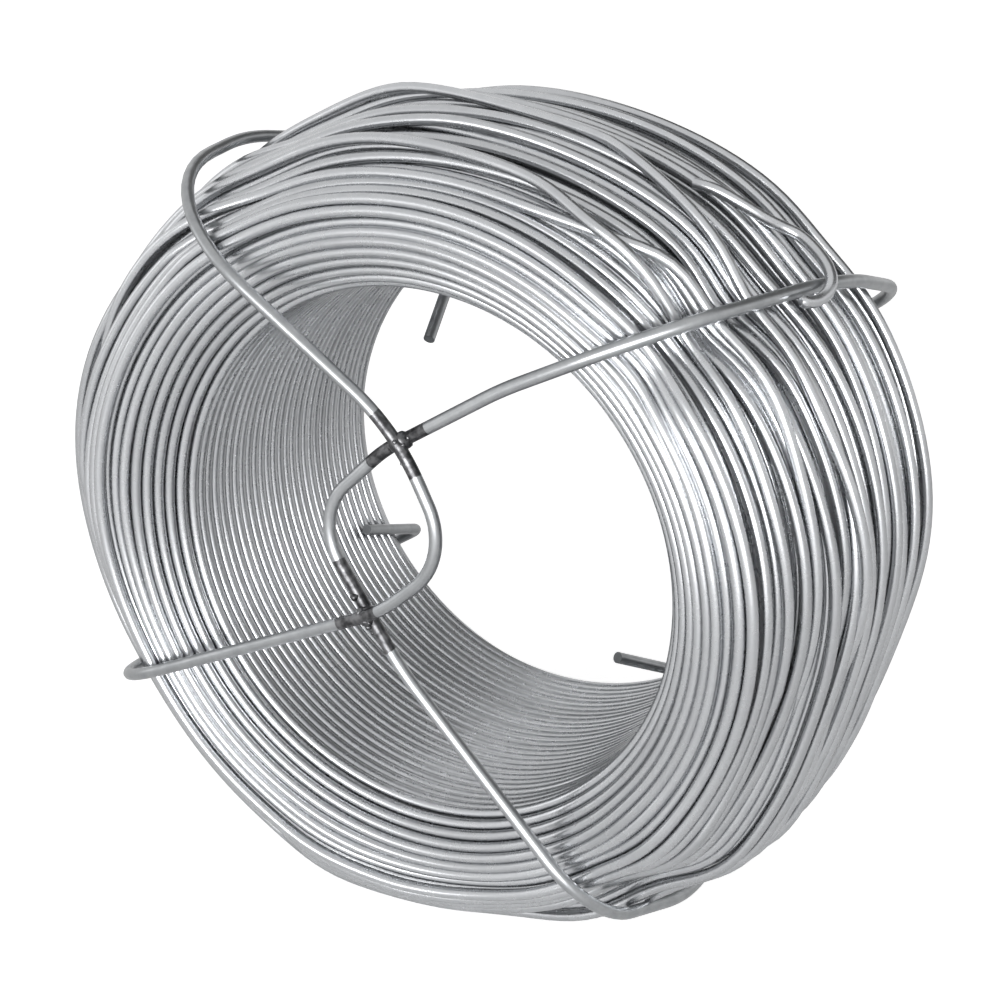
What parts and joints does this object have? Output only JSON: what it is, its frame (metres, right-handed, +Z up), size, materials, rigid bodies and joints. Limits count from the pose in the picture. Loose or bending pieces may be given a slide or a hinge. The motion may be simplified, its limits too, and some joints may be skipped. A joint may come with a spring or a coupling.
{
  "type": "coil of galvanised wire",
  "caption": "Tight coil of drawn galvanised steel wire with an open bore, held together by a welded two-wire carrier hooked round its rim.",
  "frame": {"origin": "middle of the bore, on its axis", "axes": "+Y along the bore to the back end, +Z up, +X to the right seen from the carrier's front"},
  "size_m": [0.1224, 0.0618, 0.1224],
  "materials": {
    "coil_wire": "drawn zinc-coated wire, bright with fine pits",
    "carrier_wire": "dull zinc-coated wire, burnt dark at the welds"
  },
  "bodies": {
    "root": {"wire_coil": "coil_wire", "carrier_wire_over": "carrier_wire", "carrier_wire_under": "carrier_wire"}
  },
  "joints": []
}
